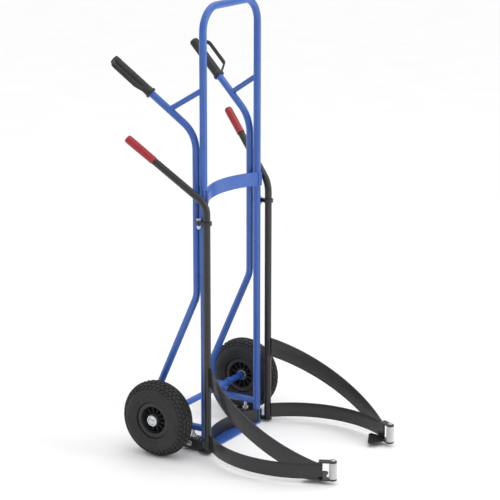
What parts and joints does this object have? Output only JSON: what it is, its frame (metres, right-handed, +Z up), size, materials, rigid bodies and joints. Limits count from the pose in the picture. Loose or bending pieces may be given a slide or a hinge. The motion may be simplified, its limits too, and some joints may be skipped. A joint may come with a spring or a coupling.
{
  "type": "hand truck",
  "caption": "Upright two-wheeled tubular hand truck with two hinged gripping arms low at the front, each swung by its own lever, for lifting tyres or drums.",
  "frame": {"origin": "on the floor under the middle of the whole object's box", "axes": "+X across the frame towards the operator's left, the narrowest direction; -Y to the front, where the arms reach; +Y to the handles; +Z up"},
  "size_m": [0.639, 0.838, 1.5125],
  "materials": {
    "blue_paint": "glossy blue powder coat on steel tube",
    "black_paint": "semi-gloss black powder coat on steel",
    "zinc_steel": "bright zinc-plated steel",
    "grip_plastic": "black moulded grip",
    "rim_plastic": "black moulded rim",
    "tyre": "black rubber",
    "tube_rubber": "black butyl rubber",
    "bearing_plastic": "natural nylon",
    "red_sleeve": "red dipped vinyl",
    "roller_plastic": "light grey nylon"
  },
  "bodies": {
    "truck": {"front_frame": "blue_paint", "rear_tube_left": "blue_paint", "rear_tube_right": "blue_paint", "handle_brace_left": "blue_paint", "handle_brace_right": "blue_paint", "upper_arc": "blue_paint", "lower_arc": "black_paint", "foot_plate": "blue_paint", "axle_tube": "blue_paint", "axle_spindle": "zinc_steel", "axle_lug_left": "blue_paint", "axle_lug_right": "blue_paint", "handgrip_left": "grip_plastic", "handgrip_right": "grip_plastic", "clamp_lug_left": "blue_paint", "clamp_lug_right": "blue_paint", "bearing_clamp_left": "black_paint", "bearing_clamp_right": "black_paint", "clamp_bolts": "zinc_steel", "base_bracket_left": "black_paint", "base_bracket_right": "black_paint", "bracket_bolts": "zinc_steel", "axle_washers": "zinc_steel", "axle_caps": "zinc_steel"},
    "wheel_left": {"tyre_left": "tyre", "inner_tube_left": "tube_rubber", "rim_left": "rim_plastic", "hub_bearing_left": "bearing_plastic", "valve_left": "tube_rubber"},
    "arm_left": {"hinge_tube_left": "black_paint", "lever_sleeve_left": "red_sleeve", "upper_bar_left": "black_paint", "lower_bar_left": "black_paint", "tip_plate_left": "black_paint", "toe_plate_left": "black_paint", "roller_bolt_left": "zinc_steel"},
    "roller_left": {"tip_roller_left": "roller_plastic"},
    "wheel_right": {"tyre_right": "tyre", "inner_tube_right": "tube_rubber", "rim_right": "rim_plastic", "hub_bearing_right": "bearing_plastic", "valve_right": "tube_rubber"},
    "arm_right": {"hinge_tube_right": "black_paint", "lever_sleeve_right": "red_sleeve", "upper_bar_right": "black_paint", "lower_bar_right": "black_paint", "tip_plate_right": "black_paint", "toe_plate_right": "black_paint", "roller_bolt_right": "zinc_steel"},
    "roller_right": {"tip_roller_right": "roller_plastic"}
  },
  "joints": [
    {"name": "wheel_left_spin", "type": "hinge", "parent": "truck", "child": "wheel_left", "pos_m": [0.277, 0.22097, 0.13], "axis": [1, 0, 0], "continuous": true},
    {"name": "arm_left_swing", "type": "hinge", "parent": "truck", "child": "arm_left", "pos_m": [0.194, 0.07697, 0.4], "axis": [0, 0, 1], "range_deg": [-18, 24]},
    {"name": "roller_left_spin", "type": "hinge", "parent": "arm_left", "child": "roller_left", "pos_m": [0.199, -0.40603, 0.045], "axis": [0, 0, 1], "continuous": true},
    {"name": "wheel_right_spin", "type": "hinge", "parent": "truck", "child": "wheel_right", "pos_m": [-0.277, 0.22097, 0.13], "axis": [1, 0, 0], "continuous": true},
    {"name": "arm_right_swing", "type": "hinge", "parent": "truck", "child": "arm_right", "pos_m": [-0.194, 0.07697, 0.4], "axis": [0, 0, -1], "range_deg": [-18, 24]},
    {"name": "roller_right_spin", "type": "hinge", "parent": "arm_right", "child": "roller_right", "pos_m": [-0.199, -0.40603, 0.045], "axis": [0, 0, 1], "continuous": true}
  ]
}
